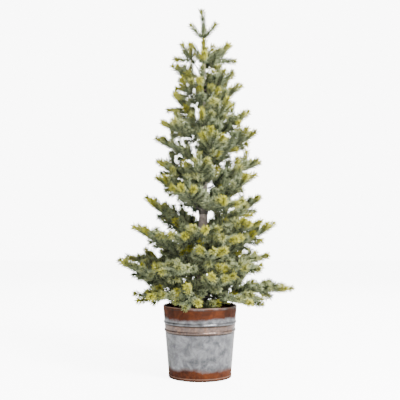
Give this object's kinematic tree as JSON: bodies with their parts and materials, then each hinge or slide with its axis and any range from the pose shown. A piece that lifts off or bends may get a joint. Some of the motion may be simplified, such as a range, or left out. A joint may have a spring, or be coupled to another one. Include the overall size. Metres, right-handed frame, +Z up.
{
  "type": "artificial tabletop tree",
  "caption": "Small artificial conifer with bendable needle branches on a wrapped trunk, standing in a weathered galvanized pot.",
  "frame": {"origin": "middle of the pot's foot ring, on the surface it stands on", "axes": "+Z up along the trunk, +X to the right seen from the front, -Y to the front; the wall seam is at the back"},
  "size_m": [0.2872, 0.2362, 0.6101],
  "materials": {
    "galvanized": "galvanized sheet with rust bands",
    "wire_steel": "drawn",
    "cement": "rough cast",
    "foam": "coarse foam",
    "fibre": "matted",
    "dowel_wood": "raw",
    "trunk_paper": "wound crepe",
    "dark_tape": "floral tape",
    "needles": "frosted"
  },
  "bodies": {
    "trunk_and_pot": {"bucket_wall": "galvanized", "bucket_base": "galvanized", "side_seam": "galvanized", "rim_wire": "wire_steel", "cement_weight": "cement", "foam_plug": "foam", "fibre_mat": "fibre", "trunk_dowel": "dowel_wood", "middle_trunk_rod": "wire_steel", "upper_trunk_rod": "wire_steel", "lower_trunk_wrap": "trunk_paper", "middle_trunk_wrap": "trunk_paper", "upper_trunk_wrap": "trunk_paper", "root_collars": "dark_tape", "crown_sprays": "needles", "leader": "needles"},
    "tier_1_branch_a": {"tier_1_branch_a": "needles"},
    "tier_1_branch_b": {"tier_1_branch_b": "needles"},
    "tier_1_branch_c": {"tier_1_branch_c": "needles"},
    "tier_1_branch_d": {"tier_1_branch_d": "needles"},
    "tier_1_branch_e": {"tier_1_branch_e": "needles"},
    "tier_1_branch_f": {"tier_1_branch_f": "needles"},
    "tier_1_branch_g": {"tier_1_branch_g": "needles"},
    "tier_1_branch_h": {"tier_1_branch_h": "needles"},
    "tier_1_branch_i": {"tier_1_branch_i": "needles"},
    "tier_2_branch_a": {"tier_2_branch_a": "needles"},
    "tier_2_branch_b": {"tier_2_branch_b": "needles"},
    "tier_2_branch_c": {"tier_2_branch_c": "needles"},
    "tier_2_branch_d": {"tier_2_branch_d": "needles"},
    "tier_2_branch_e": {"tier_2_branch_e": "needles"},
    "tier_2_branch_f": {"tier_2_branch_f": "needles"},
    "tier_2_branch_g": {"tier_2_branch_g": "needles"},
    "tier_2_branch_h": {"tier_2_branch_h": "needles"},
    "tier_2_branch_i": {"tier_2_branch_i": "needles"},
    "tier_3_branch_a": {"tier_3_branch_a": "needles"},
    "tier_3_branch_b": {"tier_3_branch_b": "needles"},
    "tier_3_branch_c": {"tier_3_branch_c": "needles"},
    "tier_3_branch_d": {"tier_3_branch_d": "needles"},
    "tier_3_branch_e": {"tier_3_branch_e": "needles"},
    "tier_3_branch_f": {"tier_3_branch_f": "needles"},
    "tier_3_branch_g": {"tier_3_branch_g": "needles"},
    "tier_3_branch_h": {"tier_3_branch_h": "needles"},
    "tier_4_branch_a": {"tier_4_branch_a": "needles"},
    "tier_4_branch_b": {"tier_4_branch_b": "needles"},
    "tier_4_branch_c": {"tier_4_branch_c": "needles"},
    "tier_4_branch_d": {"tier_4_branch_d": "needles"},
    "tier_4_branch_e": {"tier_4_branch_e": "needles"},
    "tier_4_branch_f": {"tier_4_branch_f": "needles"},
    "tier_5_branch_a": {"tier_5_branch_a": "needles"},
    "tier_5_branch_b": {"tier_5_branch_b": "needles"},
    "tier_5_branch_c": {"tier_5_branch_c": "needles"},
    "tier_5_branch_d": {"tier_5_branch_d": "needles"},
    "tier_6_branch_a": {"tier_6_branch_a": "needles"},
    "tier_6_branch_b": {"tier_6_branch_b": "needles"},
    "tier_6_branch_c": {"tier_6_branch_c": "needles"},
    "tier_6_branch_d": {"tier_6_branch_d": "needles"},
    "tier_7_branch_a": {"tier_7_branch_a": "needles"},
    "tier_7_branch_b": {"tier_7_branch_b": "needles"},
    "tier_7_branch_c": {"tier_7_branch_c": "needles"},
    "tier_7_branch_d": {"tier_7_branch_d": "needles"}
  },
  "joints": [
    {"name": "tier_1_bend_a", "type": "hinge", "parent": "trunk_and_pot", "child": "tier_1_branch_a", "pos_m": [-0.01012, -0.00132, 0.126], "axis": [-0.1219, 0.9925, 0], "range_deg": [-6, 4]},
    {"name": "tier_1_bend_b", "type": "hinge", "parent": "trunk_and_pot", "child": "tier_1_branch_b", "pos_m": [-0.00794, -0.00619, 0.135], "axis": [-0.5736, 0.8192, 0], "range_deg": [-10, 6]},
    {"name": "tier_1_bend_c", "type": "hinge", "parent": "trunk_and_pot", "child": "tier_1_branch_c", "pos_m": [-0.00154, -0.01048, 0.14], "axis": [-0.9703, 0.2419, 0], "range_deg": [-6, 6]},
    {"name": "tier_1_bend_d", "type": "hinge", "parent": "trunk_and_pot", "child": "tier_1_branch_d", "pos_m": [0.00519, -0.00994, 0.137], "axis": [-0.9205, -0.3907, 0], "range_deg": [-6, 5]},
    {"name": "tier_1_bend_e", "type": "hinge", "parent": "trunk_and_pot", "child": "tier_1_branch_e", "pos_m": [0.01012, -0.0054, 0.131], "axis": [-0.5, -0.866, 0], "range_deg": [-6, 3]},
    {"name": "tier_1_bend_f", "type": "hinge", "parent": "trunk_and_pot", "child": "tier_1_branch_f", "pos_m": [0.01145, 0.00056, 0.128], "axis": [0.0523, -0.9986, 0], "range_deg": [-3, 15]},
    {"name": "tier_1_bend_g", "type": "hinge", "parent": "trunk_and_pot", "child": "tier_1_branch_g", "pos_m": [0.00834, 0.00764, 0.129], "axis": [0.7071, -0.7071, 0], "range_deg": [-15, 8]},
    {"name": "tier_1_bend_h", "type": "hinge", "parent": "trunk_and_pot", "child": "tier_1_branch_h", "pos_m": [0.00039, 0.01079, 0.131], "axis": [0.9994, 0.0349, 0], "range_deg": [-10, 14]},
    {"name": "tier_1_bend_i", "type": "hinge", "parent": "trunk_and_pot", "child": "tier_1_branch_i", "pos_m": [-0.00771, 0.00665, 0.132], "axis": [0.6157, 0.788, 0], "range_deg": [-15, 12]},
    {"name": "tier_2_bend_a", "type": "hinge", "parent": "trunk_and_pot", "child": "tier_2_branch_a", "pos_m": [-0.00819, 0.00316, 0.171], "axis": [0.2924, 0.9563, 0], "range_deg": [-5, 15]},
    {"name": "tier_2_bend_b", "type": "hinge", "parent": "trunk_and_pot", "child": "tier_2_branch_b", "pos_m": [-0.00795, -0.00316, 0.178], "axis": [-0.2924, 0.9563, 0], "range_deg": [-15, 6]},
    {"name": "tier_2_bend_c", "type": "hinge", "parent": "trunk_and_pot", "child": "tier_2_branch_c", "pos_m": [-0.00326, -0.00935, 0.171], "axis": [-0.866, 0.5, 0], "range_deg": [-15, 10]},
    {"name": "tier_2_bend_d", "type": "hinge", "parent": "trunk_and_pot", "child": "tier_2_branch_d", "pos_m": [0.00418, -0.01064, 0.176], "axis": [-0.9848, -0.1736, 0], "range_deg": [-8, 6]},
    {"name": "tier_2_bend_e", "type": "hinge", "parent": "trunk_and_pot", "child": "tier_2_branch_e", "pos_m": [0.01041, -0.00694, 0.171], "axis": [-0.6428, -0.766, 0], "range_deg": [-6, 12]},
    {"name": "tier_2_bend_f", "type": "hinge", "parent": "trunk_and_pot", "child": "tier_2_branch_f", "pos_m": [0.0132, -0.00038, 0.179], "axis": [-0.0349, -0.9994, 0], "range_deg": [-15, 3]},
    {"name": "tier_2_bend_g", "type": "hinge", "parent": "trunk_and_pot", "child": "tier_2_branch_g", "pos_m": [0.01204, 0.00439, 0.172], "axis": [0.4067, -0.9135, 0], "range_deg": [-8, 10]},
    {"name": "tier_2_bend_h", "type": "hinge", "parent": "trunk_and_pot", "child": "tier_2_branch_h", "pos_m": [0.00677, 0.00987, 0.178], "axis": [0.9135, -0.4067, 0], "range_deg": [-12, 6]},
    {"name": "tier_2_bend_i", "type": "hinge", "parent": "trunk_and_pot", "child": "tier_2_branch_i", "pos_m": [-0.00249, 0.00971, 0.174], "axis": [0.8988, 0.4384, 0], "range_deg": [-15, 10]},
    {"name": "tier_3_bend_a", "type": "hinge", "parent": "trunk_and_pot", "child": "tier_3_branch_a", "pos_m": [-0.00697, 0.00056, 0.22], "axis": [0.0523, 0.9986, 0], "range_deg": [-20, 12]},
    {"name": "tier_3_bend_b", "type": "hinge", "parent": "trunk_and_pot", "child": "tier_3_branch_b", "pos_m": [-0.00199, -0.00926, 0.213], "axis": [-0.8572, 0.515, 0], "range_deg": [-10, 2]},
    {"name": "tier_3_bend_c", "type": "hinge", "parent": "trunk_and_pot", "child": "tier_3_branch_c", "pos_m": [0.00415, -0.01079, 0.219], "axis": [-0.9994, -0.0349, 0], "range_deg": [-2, 20]},
    {"name": "tier_3_bend_d", "type": "hinge", "parent": "trunk_and_pot", "child": "tier_3_branch_d", "pos_m": [0.00897, -0.00935, 0.213], "axis": [-0.866, -0.5, 0], "range_deg": [-10, 4]},
    {"name": "tier_3_bend_e", "type": "hinge", "parent": "trunk_and_pot", "child": "tier_3_branch_e", "pos_m": [0.01324, -0.00507, 0.217], "axis": [-0.4695, -0.8829, 0], "range_deg": [-4, 8]},
    {"name": "tier_3_bend_f", "type": "hinge", "parent": "trunk_and_pot", "child": "tier_3_branch_f", "pos_m": [0.01448, 0.00187, 0.221], "axis": [0.1736, -0.9848, 0], "range_deg": [-14, 10]},
    {"name": "tier_3_bend_g", "type": "hinge", "parent": "trunk_and_pot", "child": "tier_3_branch_g", "pos_m": [0.00838, 0.00971, 0.215], "axis": [0.8988, -0.4384, 0], "range_deg": [-4, 15]},
    {"name": "tier_3_bend_h", "type": "hinge", "parent": "trunk_and_pot", "child": "tier_3_branch_h", "pos_m": [-0.00166, 0.00935, 0.218], "axis": [0.866, 0.5, 0], "range_deg": [-20, 10]},
    {"name": "tier_4_bend_a", "type": "hinge", "parent": "trunk_and_pot", "child": "tier_4_branch_a", "pos_m": [-0.00455, -0.00298, 0.279], "axis": [-0.2756, 0.9613, 0], "range_deg": [-20, 12]},
    {"name": "tier_4_bend_b", "type": "hinge", "parent": "trunk_and_pot", "child": "tier_4_branch_b", "pos_m": [0.0013, -0.00987, 0.275], "axis": [-0.9135, 0.4067, 0], "range_deg": [-20, 8]},
    {"name": "tier_4_bend_c", "type": "hinge", "parent": "trunk_and_pot", "child": "tier_4_branch_c", "pos_m": [0.01135, -0.00916, 0.273], "axis": [-0.848, -0.5299, 0], "range_deg": [-15, 20]},
    {"name": "tier_4_bend_d", "type": "hinge", "parent": "trunk_and_pot", "child": "tier_4_branch_d", "pos_m": [0.0163, -0.0028, 0.28], "axis": [-0.2588, -0.9659, 0], "range_deg": [-18, 8]},
    {"name": "tier_4_bend_e", "type": "hinge", "parent": "trunk_and_pot", "child": "tier_4_branch_e", "pos_m": [0.01173, 0.00895, 0.275], "axis": [0.829, -0.5592, 0], "range_deg": [-20, 20]},
    {"name": "tier_4_bend_f", "type": "hinge", "parent": "trunk_and_pot", "child": "tier_4_branch_f", "pos_m": [0.00103, 0.00971, 0.277], "axis": [0.8988, 0.4384, 0], "range_deg": [-20, 8]},
    {"name": "tier_5_bend_a", "type": "hinge", "parent": "trunk_and_pot", "child": "tier_5_branch_a", "pos_m": [-0.00145, 0.00174, 0.312], "axis": [0.2079, 0.9781, 0], "range_deg": [-15, 8]},
    {"name": "tier_5_bend_b", "type": "hinge", "parent": "trunk_and_pot", "child": "tier_5_branch_b", "pos_m": [0.00493, -0.00819, 0.31], "axis": [-0.9781, 0.2079, 0], "range_deg": [-12, 10]},
    {"name": "tier_5_bend_c", "type": "hinge", "parent": "trunk_and_pot", "child": "tier_5_branch_c", "pos_m": [0.01478, 0.0023, 0.313], "axis": [0.2756, -0.9613, 0], "range_deg": [-15, 15]},
    {"name": "tier_5_bend_d", "type": "hinge", "parent": "trunk_and_pot", "child": "tier_5_branch_d", "pos_m": [0.00553, 0.00829, 0.311], "axis": [0.9903, 0.1392, 0], "range_deg": [-18, 15]},
    {"name": "tier_6_bend_a", "type": "hinge", "parent": "trunk_and_pot", "child": "tier_6_branch_a", "pos_m": [-0.0003, -0.00056, 0.35], "axis": [-0.0698, 0.9976, 0], "range_deg": [-15, 4]},
    {"name": "tier_6_bend_b", "type": "hinge", "parent": "trunk_and_pot", "child": "tier_6_branch_b", "pos_m": [0.00963, -0.0078, 0.349], "axis": [-0.9703, -0.2419, 0], "range_deg": [-20, 8]},
    {"name": "tier_6_bend_c", "type": "hinge", "parent": "trunk_and_pot", "child": "tier_6_branch_c", "pos_m": [0.01548, -0.00208, 0.351], "axis": [-0.2588, -0.9659, 0], "range_deg": [-20, 10]},
    {"name": "tier_6_bend_d", "type": "hinge", "parent": "trunk_and_pot", "child": "tier_6_branch_d", "pos_m": [0.01148, 0.00709, 0.35], "axis": [0.8829, -0.4695, 0], "range_deg": [-20, 8]},
    {"name": "tier_7_bend_a", "type": "hinge", "parent": "trunk_and_pot", "child": "tier_7_branch_a", "pos_m": [0.00182, -0.00363, 0.386], "axis": [-0.4695, 0.8829, 0], "range_deg": [-6, 12]},
    {"name": "tier_7_bend_b", "type": "hinge", "parent": "trunk_and_pot", "child": "tier_7_branch_b", "pos_m": [0.00764, -0.00762, 0.389], "axis": [-0.9903, 0.1392, 0], "range_deg": [-20, 12]},
    {"name": "tier_7_bend_c", "type": "hinge", "parent": "trunk_and_pot", "child": "tier_7_branch_c", "pos_m": [0.01637, 0.0004, 0.387], "axis": [0.0523, -0.9986, 0], "range_deg": [-18, 10]},
    {"name": "tier_7_bend_d", "type": "hinge", "parent": "trunk_and_pot", "child": "tier_7_branch_d", "pos_m": [0.00788, 0.00766, 0.388], "axis": [0.9945, 0.1045, 0], "range_deg": [-16, 8]}
  ]
}
